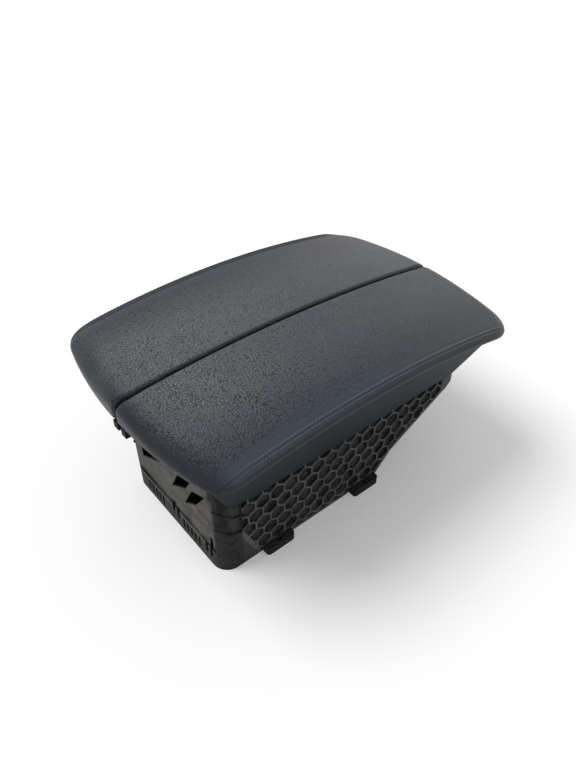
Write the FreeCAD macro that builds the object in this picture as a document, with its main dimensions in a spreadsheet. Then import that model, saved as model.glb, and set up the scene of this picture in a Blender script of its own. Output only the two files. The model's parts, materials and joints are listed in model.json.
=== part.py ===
import FreeCAD, Part
import math
import os
import re

import Sketcher

os.makedirs("parts", exist_ok=True)

# Centre armrest for a car: two padded lids side by side, hinged at the rear
# on a flared collar, over a deep moulded storage box with honeycomb walls.
# Frame in millimetres: +X right, -Y front, +Y rear, +Z up.
# The origin is at the bottom of the box, in the middle of the lids.

SIZES = (
    # alias, millimetres, meaning
    ("lid_half_width", 113, "middle of the armrest to the outer edge of a lid"),
    ("lid_half_length", 168, "middle to the front and rear tips of the lids"),
    ("lid_gap", 2, "open line between the two lids"),
    ("front_arc", 414, "plan radius of the front edge of the lids"),
    ("rear_arc", 816, "plan radius of the rear edge of the lids"),
    ("front_corner", 24, "plan radius of the front outer corner of a lid"),
    ("rear_corner", 34, "plan radius of the rear outer corner of a lid"),
    ("edge_rise", 22.7, "crest of the outer lid edge above the top plate"),
    ("edge_arc", 794, "side view radius of the outer lid edge"),
    ("edge_crest", -24, "place of its highest point along the armrest"),
    ("lip_drop", 4, "cover lip below the outer edge line"),
    ("crown_rise", 5.6, "crest of the padding above the crest of the edge"),
    ("crown_arc", 1282, "side view radius of the padding at the gap line"),
    ("crown_crest", -42, "place of its highest point along the armrest"),
    ("pad_round", 3, "rounding of the upper edges of the padding"),
    ("wrap_inset", 2.5, "cover folded round the edge of a carrier"),
    ("carrier_thickness", 3, "rigid plate of a lid"),
    ("lip_gap", 1.2, "cover lip above the edge of the collar"),
    ("plate_thickness", 3, "top plate of the collar"),
    ("flank_wall", 2.8, "wall of the flared flank, measured level"),
    ("flank_bottom", 81, "height of the lower edge of the flank"),
    ("flank_sweep", 52, "radius of the rising front end of the flank edge"),
    ("front_overhang", 26, "lids in front of the collar"),
    ("rear_overhang", 23, "lids behind the upper end of the leaning rear face"),
    ("rear_lean", 16, "rear face further forward at its lower end"),
    ("frame_corner", 16, "front corner radius of the collar"),
    ("rim_height", 138, "height of the storage box"),
    ("box_half_width", 72, "outer face of the honeycomb ribs"),
    ("box_side_wall", 4.8, "side wall with the ribs"),
    ("box_wall", 3, "front, rear and floor wall"),
    ("box_setback", 8.5, "front wall of the box behind the front of the collar"),
    ("box_corner", 15, "front corner radius of the box"),
    ("slope_length", 85.8, "rear bottom from the flat part to the rear wall"),
    ("heel_run", 20.6, "steep part of the rear bottom"),
    ("heel_z", 22.7, "height at its end"),
    ("tail_run", 6.2, "sloping rear bottom behind the rear wall"),
    ("tail_z", 63, "height at its end"),
    ("tail_reach", 5, "rear ledge behind the sloping bottom"),
    ("flange_reach", 14, "rim flange outside the side walls"),
    ("flange_thickness", 4, "rim flange"),
    ("cell_pitch", 14.8, "honeycomb cells along a row"),
    ("rib_thickness", 1.6, "ribs between the cells"),
    ("cell_depth", 2.8, "depth of the cells"),
    ("corner_panel", 21, "smooth corner in front of the honeycomb field"),
    ("corner_rib", 1.2, "arched ribs on the smooth corner"),
    ("lug_length", 30, "mounting lug along the box"),
    ("lug_reach", 8, "mounting lug outside the side wall"),
    ("lug_height", 8, "mounting lug"),
    ("lug_front_back", 56, "front lug centre behind the front wall"),
    ("lug_rear_ahead", 16, "rear lug centre ahead of the sloping bottom"),
    ("lug_hole", 4.4, "bolt hole diameter in the lugs"),
    ("mat_thickness", 2, "rubber mat on the floor"),
    ("mat_margin", 3, "mat edge to the walls"),
    ("hinge_back", 5, "hinge axis behind the rear face of the collar"),
    ("hinge_drop", 6.4, "hinge axis below the lip of the lids"),
    ("hinge_inner", 28, "inner hinge eye from the middle"),
    ("hinge_margin", 33, "outer hinge eye inside the outer edge of a lid"),
    ("eye_width", 12, "hinge eye along the axis"),
    ("eye_radius", 4.2, "hinge eye"),
    ("ear_width", 5, "lid ear beside a hinge eye"),
    ("side_play", 0.4, "hinge eye to lid ear along the axis"),
    ("pin_radius", 2, "hinge pin"),
    ("pin_fit", 0.05, "running clearance round the pins"),
    ("coil_room", 9, "space for the lid spring on the inner pin"),
    ("coil_wire", 1, "wire diameter of the lid spring"),
    ("liner_depth", 8, "liner below the carrier"),
    ("liner_wall", 2, "liner wall"),
    ("liner_gap", 3, "liner edge inside the opening of the top plate"),
    ("buffer_radius", 5, "rubber buffers"),
    ("screw_radius", 2, "screw shanks"),
    ("screw_head", 3.6, "screw head radius"),
    ("screw_fit", 0.1, "clearance round the screw shanks"),
    ("lever_forward", 7, "release pin in front of the collar"),
    ("lever_pivot_drop", 11.8, "release pin below the lip of the lids"),
    ("lever_width", 6.5, "release lever"),
    ("lever_gap", 5, "between the two release levers"),
    ("lever_hub", 4, "hub radius of a release lever"),
    ("release_pin_radius", 1.5, "release pin"),
    ("release_wire", 0.8, "wire diameter of the release spring"),
    ("striker_forward", 15, "rear face of the striker tongue in front of the collar"),
    ("tab_setback", 1.5, "finger tab behind the front tip of the lids"),
    ("striker_thickness", 2, "striker tongue"),
    ("striker_rise", 1, "lower end of the striker tongue above the release pin"),
    ("latch_gap", 0.4, "between hook and striker"),
)

doc = FreeCAD.newDocument("armrest")
sheet = doc.addObject("Spreadsheet::Sheet", "Sizes")
for row, (alias, value, meaning) in enumerate(SIZES, 1):
    sheet.set("A%d" % row, meaning)
    sheet.set("B%d" % row, str(value))
    sheet.setAlias("B%d" % row, alias)
doc.recompute()

# Names of heights and places that several pieces share, in terms of the sizes.
SHARED = {
    "plate_top": "(rim_height + plate_thickness)",
    "frame_front": "(lid_half_length - front_overhang)",
    "frame_rear": "(lid_half_length - rear_overhang)",
    "box_front": "(frame_front - box_setback)",
    "floor_end": "(box_rear - slope_length)",
    "heel_y": "(floor_end + heel_run)",
    "tail_y": "(box_rear + tail_run)",
    "cell_start": "(box_front - corner_panel)",
    "lug_front_y": "(box_front - lug_front_back)",
    "lug_rear_y": "(floor_end - lug_rear_ahead)",
    "hinge_y": "(frame_rear + hinge_back)",
    "hinge_outer": "(lid_half_width - hinge_margin)",
    "lever_pivot_y": "(frame_front + lever_forward)",
    "striker_y": "(frame_front + striker_forward)",
    "edge_z": "(plate_top + edge_rise)",
    "lip_z": "(edge_z - lip_drop)",
    "arch_z": "(lip_z - edge_arc)",
    "axis_z": "(arch_z + sqrt(edge_arc ^ 2 - (hinge_y - edge_crest) ^ 2) - hinge_drop)",
    "box_inner": "(box_half_width - box_side_wall)",
    "box_rear": "(frame_rear - rear_lean - flank_wall - 0.4)",
    "ledge_end": "(tail_y + tail_reach)",
    "flank_low": "(box_half_width + flank_wall + 0.4)",
    "flank_slope": "((lid_half_width - 0.6 - flank_low) / (lip_z - flank_bottom))",
    "lever_z": "(arch_z + sqrt(edge_arc ^ 2 - (lever_pivot_y + edge_crest) ^ 2) - lever_pivot_drop)",
    "lever_x": "(lever_gap / 2)",
}
ALIASES = {alias for alias, value, meaning in SIZES}


def ex(text):
    """Spell out the shared names and point every size at its cell."""
    text = str(text)
    while any(re.search(r"\b%s\b" % name, text) for name in SHARED):
        for name, meaning in SHARED.items():
            text = re.sub(r"\b%s\b" % name, meaning, text)
    return re.sub(r"\b[a-z_]+\b", lambda m: "Sizes." + m.group() if m.group() in ALIASES else m.group(), text)


def num(text):
    """Value of an expression in the sizes, in millimetres."""
    return float(sheet.evalExpression(ex(text)))


def place(obj, x, y, z):
    for axis, text in zip("xyz", (x, y, z)):
        obj.setExpression("Placement.Base." + axis, ex(text))


def block(name, x0, x1, y0, y1, z0, z1):
    """Rectangular block between six bound limits."""
    obj = doc.addObject("Part::Box", name)
    obj.setExpression("Length", ex("(%s) - (%s)" % (x1, x0)))
    obj.setExpression("Width", ex("(%s) - (%s)" % (y1, y0)))
    obj.setExpression("Height", ex("(%s) - (%s)" % (z1, z0)))
    place(obj, x0, y0, z0)
    return obj


TURNS = {
    "x": FreeCAD.Rotation(FreeCAD.Vector(0, 1, 0), 90),
    "y": FreeCAD.Rotation(FreeCAD.Vector(1, 0, 0), -90),
    "z": FreeCAD.Rotation(),
}


def rod(name, along, radius, length, x, y, z):
    """Cylinder from a bound start point along one axis."""
    obj = doc.addObject("Part::Cylinder", name)
    obj.Placement.Rotation = TURNS[along]
    obj.setExpression("Radius", ex(radius))
    obj.setExpression("Height", ex(length))
    place(obj, x, y, z)
    return obj


def fuse(name, *items):
    obj = doc.addObject("Part::MultiFuse", name)
    obj.Shapes = list(items)
    obj.Refine = True
    return obj


def cut(name, base, *tools):
    obj = doc.addObject("Part::Cut", name)
    obj.Base = base
    obj.Tool = tools[0] if len(tools) == 1 else fuse(name + "_tools", *tools)
    obj.Refine = True
    return obj


def common(name, first, second):
    obj = doc.addObject("Part::Common", name)
    obj.Base = first
    obj.Tool = second
    return obj


def rounded(name, base, radius, pick):
    """Fillet the edges of base whose middle point and direction satisfy pick."""
    doc.recompute()
    obj = doc.addObject("Part::Fillet", name)
    obj.Base = base
    size = num(radius)
    edges = []
    for index, edge in enumerate(base.Shape.Edges, 1):
        ends = edge.Vertexes
        if len(ends) > 1 and pick(edge.CenterOfMass, ends[1].Point - ends[0].Point):
            edges.append((index, size, size))
    obj.Edges = edges
    return obj


def mirrored(name, source):
    obj = doc.addObject("Part::Mirroring", name)
    obj.Source = source
    obj.Normal = FreeCAD.Vector(1, 0, 0)
    return obj


def profile_body(name, role, points, length, both=True, start="0"):
    """Body padded from a closed outline on an origin plane; every corner is bound."""
    body = doc.addObject("PartDesign::Body", name)
    plane = next(item for item in body.Origin.OriginFeatures if item.Role == role)
    sketch = body.newObject("Sketcher::SketchObject", name + "_outline")
    sketch.AttachmentSupport = [(plane, "")]
    sketch.MapMode = "FlatFace"
    sketch.setExpression("AttachmentOffset.Base.z", ex(start))
    spots = [FreeCAD.Vector(num(u), num(v), 0) for u, v in points]
    count = len(spots)
    for index in range(count):
        sketch.addGeometry(Part.LineSegment(spots[index], spots[(index + 1) % count]))
    for index in range(count):
        sketch.addConstraint(Sketcher.Constraint("Coincident", index, 2, (index + 1) % count, 1))
    for index, (u, v) in enumerate(points):
        for kind, text, value in (("DistanceX", u, spots[index].x), ("DistanceY", v, spots[index].y)):
            item = sketch.addConstraint(Sketcher.Constraint(kind, -1, 1, index, 1, value))
            sketch.setExpression("Constraints[%d]" % item, ex(text))
    pad = body.newObject("PartDesign::Pad", name + "_pad")
    pad.Profile = sketch
    pad.SideType = "Symmetric" if both else "One side"
    pad.setExpression("Length", ex(length))
    body.Tip = pad
    return body


def coil(name, along, wire, radius, pitch, length, x, y, z):
    """Wire coil swept once along a helix that starts at a bound point."""
    helix = doc.addObject("Part::Helix", name + "_path")
    helix.setExpression("Radius", ex(radius))
    helix.setExpression("Pitch", ex(pitch))
    helix.setExpression("Height", ex(length))
    helix.Placement.Rotation = TURNS[along]
    place(helix, x, y, z)
    section = doc.addObject("Part::Circle", name + "_wire")
    section.setExpression("Radius", ex("(%s) / 2" % wire))
    doc.recompute()
    path = helix.Shape.Edges[0]
    start = path.valueAt(path.FirstParameter)
    heading = path.tangentAt(path.FirstParameter)
    section.Placement = FreeCAD.Placement(start, FreeCAD.Rotation(FreeCAD.Vector(0, 0, 1), heading))
    sweep = doc.addObject("Part::Sweep", name)
    sweep.Sections = [section]
    sweep.Spine = (helix, ["Edge1"])
    sweep.Solid = True
    sweep.Frenet = True
    return sweep


SIDES = (("right", ""), ("left", "-"))

# Storage box

shell = profile_body(
    "box_shell",
    "YZ_Plane",
    (
        ("-box_front", "0"),
        ("floor_end", "0"),
        ("heel_y", "heel_z"),
        ("tail_y", "tail_z"),
        ("ledge_end", "tail_z + tail_reach"),
        ("ledge_end", "flank_bottom - 4"),
        ("box_rear", "flank_bottom - 2"),
        ("box_rear", "rim_height"),
        ("-box_front", "rim_height"),
    ),
    "2 * box_half_width",
)
shell_round = rounded(
    "box_round",
    shell,
    "box_corner",
    lambda mid, way: abs(way.z) > 50 and abs(way.y) < 1 and mid.y < 0,
)
bin_room = profile_body(
    "bin_room",
    "YZ_Plane",
    (
        ("-(box_front - box_wall)", "box_wall"),
        ("floor_end - 0.45 * box_wall", "box_wall"),
        ("heel_y - 0.55 * box_wall", "heel_z + 0.95 * box_wall"),
        ("box_rear - box_wall", "tail_z - (tail_y - box_rear) * 0.56 + 0.6 * box_wall"),
        ("box_rear - box_wall", "rim_height + 1"),
        ("-(box_front - box_wall)", "rim_height + 1"),
    ),
    "2 * box_inner",
)
bin_round = rounded(
    "bin_round",
    bin_room,
    "box_corner - box_wall",
    lambda mid, way: abs(way.z) > 50 and abs(way.y) < 1 and mid.y < 0,
)
flange = block(
    "rim_flange",
    "-(box_half_width + flange_reach)",
    "box_half_width + flange_reach",
    "-(box_front - box_corner)",
    "box_rear - 4",
    "rim_height - flange_thickness",
    "rim_height",
)
lugs = []
lug_holes = []
for side, sign in SIDES:
    for end, spot in (("front", "-lug_front_y"), ("rear", "lug_rear_y")):
        inner = sign + "(box_half_width - 1)"
        outer = sign + "(box_half_width + lug_reach)"
        name = "%s_%s_lug" % (side, end)
        lug = block(
            name,
            inner if sign == "" else outer,
            outer if sign == "" else inner,
            spot + " - lug_length / 2",
            spot + " + lug_length / 2",
            "0",
            "lug_height",
        )
        lugs.append(
            rounded(
                name + "_round",
                lug,
                "lug_reach * 0.4",
                lambda mid, way: abs(way.z) > 1 and abs(mid.x) > num("box_half_width + lug_reach / 2"),
            )
        )
        lug_holes.append(
            rod(
                name + "_hole",
                "z",
                "lug_hole / 2",
                "lug_height + 2",
                sign + "(box_half_width + lug_reach / 2)",
                spot,
                "-1",
            )
        )


def honeycomb_cells():
    """Hexagonal pockets on the right wall, inside the outline of the honeycomb field."""
    pitch = num("cell_pitch")
    radius = (pitch - num("rib_thickness")) / math.sqrt(3)
    row_step = pitch * math.sqrt(3) / 2
    depth = num("cell_depth")
    wall = num("box_half_width")
    margin = num("rib_thickness") * 1.5
    start = -num("cell_start")
    top = num("flank_bottom") + 8
    end = num("box_rear") - margin
    field = [
        (start, num("flank_bottom") - 34),
        (start + 16.5, 7),
        (start + 18, margin),
        (num("floor_end") - 0.5 * margin, margin),
        (num("heel_y") - margin, num("heel_z") + margin),
        (end, num("tail_z - (tail_y - box_rear) * 0.56") + margin),
        (end, top),
        (start, top),
    ]
    loop = [FreeCAD.Vector(wall - depth, u, v) for u, v in field]
    area = Part.Face(Part.makePolygon(loop + loop[:1])).extrude(FreeCAD.Vector(depth + 1, 0, 0))
    cells = []
    for row in range(int(top / row_step) + 2):
        for column in range(int((end - start) / pitch) + 2):
            middle = FreeCAD.Vector(wall - depth, start + pitch * (column + 0.5 * (row % 2)), row * row_step)
            corners = []
            for step in range(6):
                angle = math.radians(60 * step + 30)
                corners.append(middle + FreeCAD.Vector(0, radius * math.cos(angle), radius * math.sin(angle)))
            cells.append(Part.Face(Part.makePolygon(corners + corners[:1])).extrude(FreeCAD.Vector(depth + 1, 0, 0)))
    kept = [solid for solid in Part.makeCompound(cells).common(area).Solids if solid.Volume > 4 * depth]
    return Part.makeCompound(kept)


right_cells = doc.addObject("Part::Feature", "right_cells")
right_cells.Shape = honeycomb_cells()
left_cells = mirrored("left_cells", right_cells)

# Front wall: a recessed panel, three windows, a ledge with louvre slots.
front_tools = [
    block(
        "front_panel_recess",
        "-(box_half_width - box_corner + 6)",
        "box_half_width - box_corner + 6",
        "-(box_front + corner_rib + 1)",
        "-(box_front - box_wall * 0.4)",
        "21.5",
        "flank_bottom + 5",
    )
]
WINDOWS = (
    ("window_one", ((-1, -32), (23, -15), (32, 0), (12, -8))),
    ("window_two", ((19, -36), (36, -24), (53, 1), (33, -9))),
    ("window_three", ((-50, -36), (-17, -17), (-17, 2), (-50, 2))),
)
for name, corners in WINDOWS:
    points = [(str(u), "flank_bottom + %s" % v) for u, v in corners]
    front_tools.append(profile_body(name, "XZ_Plane", points, "box_wall * 3", both=True, start="box_front"))
for index, spot in enumerate((-46, -40, -34, -28, -22, 12, 18, 24, 30, 36)):
    front_tools.append(
        block(
            "louvre_%d" % (index + 1),
            str(spot),
            "%s + 3" % spot,
            "-(box_front + 1)",
            "-(box_front - box_wall * 0.6)",
            "6",
            "18",
        )
    )
DRAIN_SLOTS = (
    ("-4", "14", "27"),
    ("3", "10", "23"),
    ("box_half_width - 25", "10", "22"),
    ("box_half_width - 18", "9", "35"),
)
for index, (spot, low, high) in enumerate(DRAIN_SLOTS):
    front_tools.append(
        block(
            "drain_slot_%d" % (index + 1),
            spot,
            spot + " + 4",
            "-(box_front + 1)",
            "-(box_front - box_wall - 1)",
            low,
            high,
        )
    )
RIM_SCREWS = ("-(box_front - 33.5)", "(box_rear - box_front) / 2 + 12", "box_rear - 17.8")
rim_holes = []
for side, sign in SIDES:
    for index, spot in enumerate(RIM_SCREWS):
        rim_holes.append(
            rod(
                "rim_hole_%s_%d" % (side, index + 1),
                "z",
                "screw_radius + screw_fit",
                "flange_thickness + plate_thickness + 4",
                sign + "(box_half_width + flange_reach / 2)",
                spot,
                "rim_height - flange_thickness - 2",
            )
        )

# Ribs on the smooth front corners, in line with the rising end of the flank
corner_skin = rounded(
    "corner_skin",
    block(
        "corner_block",
        "box_half_width - box_corner",
        "box_half_width + corner_rib",
        "-(box_front + corner_rib)",
        "-cell_start",
        "flank_bottom - 40",
        "flank_bottom + 30",
    ),
    "box_corner + corner_rib - 0.1",
    lambda mid, way: abs(way.z) > 10 and mid.x > num("box_half_width") and mid.y < -num("box_front"),
)
rib_rings = [
    block(
        "upright_rib",
        "box_half_width - 1",
        "box_half_width + corner_rib",
        "-(cell_start + rib_thickness)",
        "-cell_start",
        "flank_bottom - 36",
        "flank_bottom + 8",
    )
]
for index, step in enumerate((2, 20, 39)):
    spot = ("-250", "-(frame_front - flank_sweep)", "flank_bottom + flank_sweep")
    outer = rod("rib_outer_%d" % index, "x", "flank_sweep + %d + corner_rib" % step, "500", *spot)
    inner = rod("rib_inner_%d" % index, "x", "flank_sweep + %d" % step, "500", *spot)
    rib_rings.append(cut("rib_ring_%d" % index, outer, inner))
right_ribs = common("right_corner_ribs", corner_skin, fuse("rib_rings", *rib_rings))
left_ribs = mirrored("left_corner_ribs", right_ribs)
box_solid = fuse("box_solid", shell_round, flange, right_ribs, left_ribs, *lugs)
storage_box = cut(
    "storage_box", box_solid, bin_round, right_cells, left_cells, *front_tools, *lug_holes, *rim_holes
)

# Flared collar: outer shape less the rooms under and over the top plate


def flank_x(height, wall="0"):
    """Half width of the flared outline at a height, less a wall."""
    return "(flank_low - %s + flank_slope * (%s - flank_bottom))" % (wall, height)


def flared(name, low, high, wall, corner):
    """Flared prism between two heights, set in by a wall, with a leaning rear face."""
    points = (
        ("-" + flank_x(low, wall), low),
        (flank_x(low, wall), low),
        (flank_x(high, wall), high),
        ("-" + flank_x(high, wall), high),
    )
    prism = profile_body(
        name + "_prism",
        "XZ_Plane",
        points,
        "frame_front + frame_rear - 2 * %s" % wall,
        both=False,
        start="-(frame_rear - %s)" % wall,
    )
    front = rounded(name + "_front", prism, corner, lambda mid, way: abs(way.z) > 5 and mid.y < 0)
    wedge = profile_body(
        name + "_wedge",
        "YZ_Plane",
        (
            ("frame_rear - %s - rear_lean * 1.15" % wall, "flank_bottom - 0.15 * (lip_z - flank_bottom)"),
            ("frame_rear + 60", "flank_bottom - 0.15 * (lip_z - flank_bottom)"),
            ("frame_rear + 60", "lip_z + 30"),
            ("frame_rear - %s + rear_lean * 30 / (lip_z - flank_bottom)" % wall, "lip_z + 30"),
        ),
        "600",
    )
    return cut(name, front, wedge)


flare = flared("flare", "flank_bottom", "lip_z + 4", "0", "frame_corner")
lower_room = flared("lower_room", "flank_bottom - 1", "rim_height", "flank_wall", "frame_corner - flank_wall")
upper_room = flared("upper_room", "plate_top", "lip_z + 8", "flank_wall", "frame_corner - flank_wall")
arch = rod("arch", "x", "edge_arc - lip_gap", "600", "-300", "edge_crest", "arch_z")
bin_mouth = block(
    "bin_mouth",
    "-(box_inner - 1)",
    "box_inner - 1",
    "-(box_front - box_wall - 1)",
    "box_rear - box_wall - 1",
    "rim_height - 5",
    "plate_top + 5",
)
bin_mouth_round = rounded("bin_mouth_round", bin_mouth, "8", lambda mid, way: abs(way.z) > 1)
sweep_block = block(
    "sweep_block",
    "-200",
    "200",
    "-(frame_front + 20)",
    "-(frame_front - flank_sweep)",
    "flank_bottom - 20",
    "flank_bottom + flank_sweep",
)
sweep_round = rod(
    "sweep_round",
    "x",
    "flank_sweep",
    "500",
    "-250",
    "-(frame_front - flank_sweep)",
    "flank_bottom + flank_sweep",
)
sweep_cut = cut("sweep_cut", sweep_block, sweep_round)
frame_shell = cut(
    "frame_shell", common("flare_arched", flare, arch), lower_room, upper_room, bin_mouth_round, sweep_cut
)
EARS = (
    ("left_ear", "-(lever_x + lever_width + 10)", "-(lever_x + lever_width + 7)"),
    ("middle_ear", "-(lever_x - 0.6)", "lever_x - 0.6"),
    ("right_ear", "lever_x + lever_width + 7", "lever_x + lever_width + 10"),
)
frame_parts = [frame_shell]
for name, low, high in EARS:
    frame_parts.append(
        block(
            name,
            low,
            high,
            "-(lever_pivot_y + 4)",
            "-(frame_front - flank_wall / 2)",
            "lever_z - 4",
            "lever_z + 5",
        )
    )
HINGES = (("inner", "hinge_inner"), ("outer", "hinge_outer"))
WALL_AT_AXIS = "(frame_rear - rear_lean * (lip_z - axis_z) / (lip_z - flank_bottom))"
pin_tools = [rod("ear_bore", "x", "release_pin_radius", "80", "-40", "-lever_pivot_y", "lever_z")]
for side, sign in SIDES:
    for end, spot in HINGES:
        name = "%s_%s_eye" % (side, end)
        low = "%s%s - eye_width / 2" % (sign, spot)
        high = "%s%s + eye_width / 2" % (sign, spot)
        frame_parts.append(rod(name, "x", "eye_radius", "eye_width", low, "hinge_y", "axis_z"))
        frame_parts.append(
            block(
                name + "_arm",
                low,
                high,
                WALL_AT_AXIS + " - 1.4",
                "hinge_y",
                "axis_z - eye_radius",
                "axis_z + 1",
            )
        )
        pin_tools.append(rod(name + "_bore", "x", "pin_radius + 0.02", "eye_width + 2", low + " - 1", "hinge_y", "axis_z"))
top_frame = cut("top_frame", fuse("frame_with_ears", *frame_parts), *pin_tools, *rim_holes)

# Rubber mat on the flat floor
bin_mat = block(
    "bin_mat",
    "-(box_inner - mat_margin)",
    "box_inner - mat_margin",
    "-(box_front - box_wall - box_corner + 6)",
    "floor_end - 0.45 * box_wall - mat_margin",
    "box_wall",
    "box_wall + mat_thickness",
)

# Padded lid on the right side


def lid_plan(inset):
    """Plan outline of the right lid, moved inwards by inset; the inner corners are square."""
    inner = num("lid_gap") / 2 + inset
    outer = num("lid_half_width") - inset
    ends = []
    for sign, arc, corner in ((-1, "front_arc", "front_corner"), (1, "rear_arc", "rear_corner")):
        big = num(arc) - inset
        small = max(num(corner) - inset, 2.0)
        middle = sign * (num("lid_half_length") - num(arc))
        centre = FreeCAD.Vector(0, middle, 0)
        tip = FreeCAD.Vector(inner, middle + sign * math.sqrt(big**2 - inner**2), 0)
        hub_x = outer - small
        hub = FreeCAD.Vector(hub_x, middle + sign * math.sqrt((big - small) ** 2 - hub_x**2), 0)
        touch = centre + (hub - centre) * (big / (big - small))
        side = FreeCAD.Vector(outer, hub.y, 0)
        half = (tip.x + touch.x) / 2
        on_arc = FreeCAD.Vector(half, middle + sign * math.sqrt(big**2 - half**2), 0)
        bend = ((touch - hub) + (side - hub)).normalize() * small + hub
        ends.append((tip, on_arc, touch, bend, side))
    front, rear = ends
    edges = [
        Part.Arc(front[0], front[1], front[2]).toShape(),
        Part.Arc(front[2], front[3], front[4]).toShape(),
        Part.makeLine(front[4], rear[4]),
        Part.Arc(rear[4], rear[3], rear[2]).toShape(),
        Part.Arc(rear[2], rear[1], rear[0]).toShape(),
        Part.makeLine(rear[0], front[0]),
    ]
    return Part.Face(Part.Wire(edges))


def arched(face, low, high):
    """Upright prism over a plan face between two arched levels, given from the lip level."""
    upright = face.copy()
    upright.translate(FreeCAD.Vector(0, 0, num("plate_top") - 60))
    prism = upright.extrude(FreeCAD.Vector(0, 0, 200))
    start = FreeCAD.Vector(-300, num("edge_crest"), num("arch_z"))
    along = FreeCAD.Vector(1, 0, 0)
    outer = Part.makeCylinder(num("edge_arc") + high, 600, start, along)
    inner = Part.makeCylinder(num("edge_arc") + low, 600, start, along)
    return prism.common(outer).cut(inner)


def lip_level(y):
    """Height of the arched lower edge of the lids."""
    return num("arch_z") + math.sqrt(num("edge_arc") ** 2 - (y - num("edge_crest")) ** 2)


def crown(y):
    """Height of the padding along the gap line: an arc in the side view."""
    return num("edge_z + crown_rise") - (y - num("crown_crest")) ** 2 / (2 * num("crown_arc"))


def pad_blank():
    """Loft of arched cross-sections, cut to the plan outline of the lid."""
    reach = num("lid_half_length") + 5
    right = num("lid_half_width") + 1
    sections = []
    for step in range(7):
        y = -reach + step * reach / 3
        low = num("plate_top - 20")
        edge = lip_level(y) + num("lip_drop") + 1
        top = crown(y)
        points = [
            FreeCAD.Vector(0.5, y, low),
            FreeCAD.Vector(0.5, y, top),
            FreeCAD.Vector(0.5 + (right - 0.5) / 2, y, edge + (top - edge) * 0.75),
            FreeCAD.Vector(right, y, edge),
            FreeCAD.Vector(right, y, low),
        ]
        edges = [
            Part.makeLine(points[0], points[1]),
            Part.Arc(points[1], points[2], points[3]).toShape(),
            Part.makeLine(points[3], points[4]),
            Part.makeLine(points[4], points[0]),
        ]
        sections.append(Part.Wire(edges))
    body = Part.makeLoft(sections, True, False)
    upright = lid_plan(0)
    upright.translate(FreeCAD.Vector(0, 0, num("plate_top") - 60))
    start = FreeCAD.Vector(-300, num("edge_crest"), num("arch_z"))
    under = Part.makeCylinder(num("edge_arc"), 600, start, FreeCAD.Vector(1, 0, 0))
    return body.common(upright.extrude(FreeCAD.Vector(0, 0, 200))).cut(under)


right_nodes = []
pad_base = doc.addObject("Part::Feature", "right_pad_blank")
pad_base.Shape = pad_blank()
pad_soft = rounded(
    "right_pad_soft",
    pad_base,
    "pad_round",
    lambda mid, way: mid.z > lip_level(mid.y) + num("lip_drop / 2") and abs(way.x) + abs(way.y) > 2,
)
pad_room = doc.addObject("Part::Feature", "right_pad_room")
pad_room.Shape = arched(lid_plan(num("wrap_inset")), -20, num("carrier_thickness"))
right_nodes.append(cut("right_lid_pad", pad_soft, pad_room))

carrier_plate = doc.addObject("Part::Feature", "right_carrier_plate")
carrier_plate.Shape = arched(lid_plan(num("wrap_inset")), 0, num("carrier_thickness"))
carrier_parts = [carrier_plate]
hinge_bores = []
for end, spot in HINGES:
    for side, shift in (("a", "-(eye_width / 2 + side_play + ear_width)"), ("b", "eye_width / 2 + side_play")):
        name = "right_%s_lid_ear_%s" % (end, side)
        low = "%s + %s" % (spot, shift)
        carrier_parts.append(rod(name, "x", "eye_radius", "ear_width", low, "hinge_y", "axis_z"))
        carrier_parts.append(
            block(
                name + "_web",
                low,
                low + " + ear_width",
                "hinge_y - eye_radius",
                "hinge_y + eye_radius",
                "axis_z",
                str(lip_level(num("hinge_y")) + 1),
            )
        )
    hinge_bores.append(
        rod(
            "right_%s_hinge_bore" % end,
            "x",
            "pin_radius + pin_fit",
            "eye_width + 2 * ear_width + 10",
            "%s - eye_width / 2 - ear_width - 5" % spot,
            "hinge_y",
            "axis_z",
        )
    )
    extra = "coil_room" if end == "inner" else "0"
    right_nodes.append(
        rod(
            "right_%s_pin" % end,
            "x",
            "pin_radius",
            "eye_width + 2 * side_play + 2 * ear_width + %s" % extra,
            "%s - eye_width / 2 - side_play - ear_width" % spot,
            "hinge_y",
            "axis_z",
        )
    )
right_nodes.append(
    coil(
        "right_lid_spring",
        "x",
        "coil_wire",
        "pin_radius + coil_wire / 2 + 0.4",
        "coil_wire * 2",
        "coil_room - coil_wire - 1.2",
        "hinge_inner + eye_width / 2 + side_play + ear_width + coil_wire / 2 + 0.3",
        "hinge_y",
        "axis_z",
    )
)
LINER_X = ("lid_gap / 2 + liner_gap", "box_inner - 1 - liner_gap")
LINER_Y = ("-(box_front - box_wall - 1 - liner_gap)", "box_rear - box_wall - 1 - liner_gap")


def liner_face(inset, corner):
    """Plan rectangle of the liner with rounded corners."""
    x0, x1 = num(LINER_X[0]) + inset, num(LINER_X[1]) - inset
    y0, y1 = num(LINER_Y[0]) + inset, num(LINER_Y[1]) - inset
    solid = Part.makeBox(x1 - x0, y1 - y0, 1, FreeCAD.Vector(x0, y0, 0))
    upright = [edge for edge in solid.Edges if abs(edge.Vertexes[1].Z - edge.Vertexes[0].Z) > 0.5]
    solid = solid.makeFillet(corner, upright)
    return min(solid.Faces, key=lambda face: face.CenterOfMass.z)


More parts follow.
